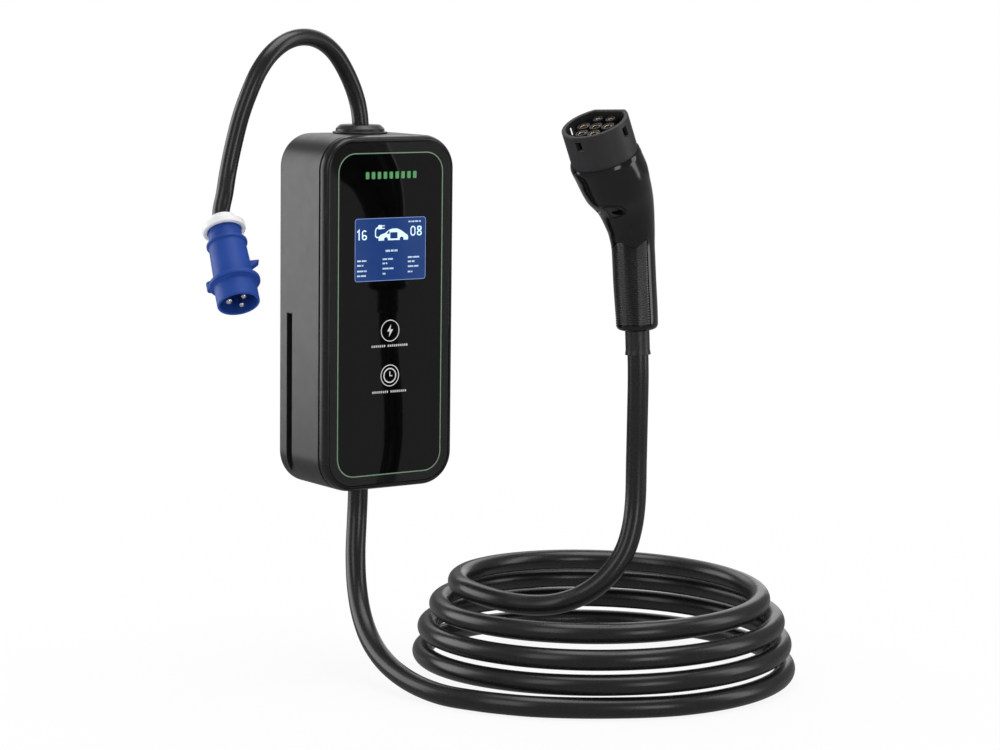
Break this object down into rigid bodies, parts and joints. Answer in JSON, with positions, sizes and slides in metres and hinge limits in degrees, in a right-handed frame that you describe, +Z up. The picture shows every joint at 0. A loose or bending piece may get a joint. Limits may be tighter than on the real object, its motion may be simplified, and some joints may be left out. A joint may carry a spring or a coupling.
{
  "type": "portable ev charger",
  "caption": "Slim black control box with a touch panel, a short lead to a blue industrial plug, and a coiled charging cable with a pistol-like vehicle connector.",
  "frame": {"origin": "centre of the control box's flat back face, where it lies on a wall bracket", "axes": "+Z up along the box, the front with the panel faces -Y, +X to the right when looking at the front"},
  "size_m": [0.4978, 0.3325, 0.5398],
  "materials": {
    "housing": "satin black moulding",
    "cover": "satin black moulding",
    "panel": "gloss black sheet",
    "display": "blue screen under clear sheet",
    "board": "green circuit board",
    "case": "dark component case",
    "terminal": "green terminal moulding",
    "copper": "copper",
    "steel": "zinc plated",
    "rubber": "matt black rubber",
    "sheath": "satin black cable sheath",
    "white": "near-white moulding",
    "blue": "blue moulding",
    "pin": "nickel plated brass",
    "gloss": "gloss black moulding",
    "grip": "ribbed soft grip",
    "nose": "matt dark grey moulding",
    "silver": "silver plated contact"
  },
  "bodies": {
    "root": {"rear_housing": "housing", "front_cover": "cover", "housing_seal": "rubber", "front_panel": "panel", "display_module": "display", "control_board": "board", "touch_pad_upper": "copper", "touch_pad_lower": "copper", "main_board": "board", "relay_live": "case", "relay_neutral": "case", "leakage_sensor": "copper", "power_transformer": "case", "input_terminal_block": "terminal", "output_terminal_block": "terminal", "supply_clamp": "case", "charging_clamp": "case", "housing_screw_1": "steel", "housing_screw_2": "steel", "housing_screw_3": "steel", "housing_screw_4": "steel", "top_gland": "rubber", "bottom_gland": "rubber", "supply_lead": "sheath", "plug_collar": "white", "plug_body": "blue", "plug_insert": "blue", "plug_pin_earth": "pin", "plug_pin_live": "pin", "plug_pin_neutral": "pin", "charging_cable_drop": "sheath", "charging_cable_coil": "sheath", "charging_cable_riser": "sheath", "connector_boot": "rubber", "handle_shell": "gloss", "grip_insert": "grip", "connector_nose": "nose", "contact_carrier": "nose", "contact_1": "silver", "contact_2": "silver", "contact_3": "silver", "contact_4": "silver", "contact_5": "silver", "contact_6": "silver", "contact_7": "silver"}
  },
  "joints": []
}
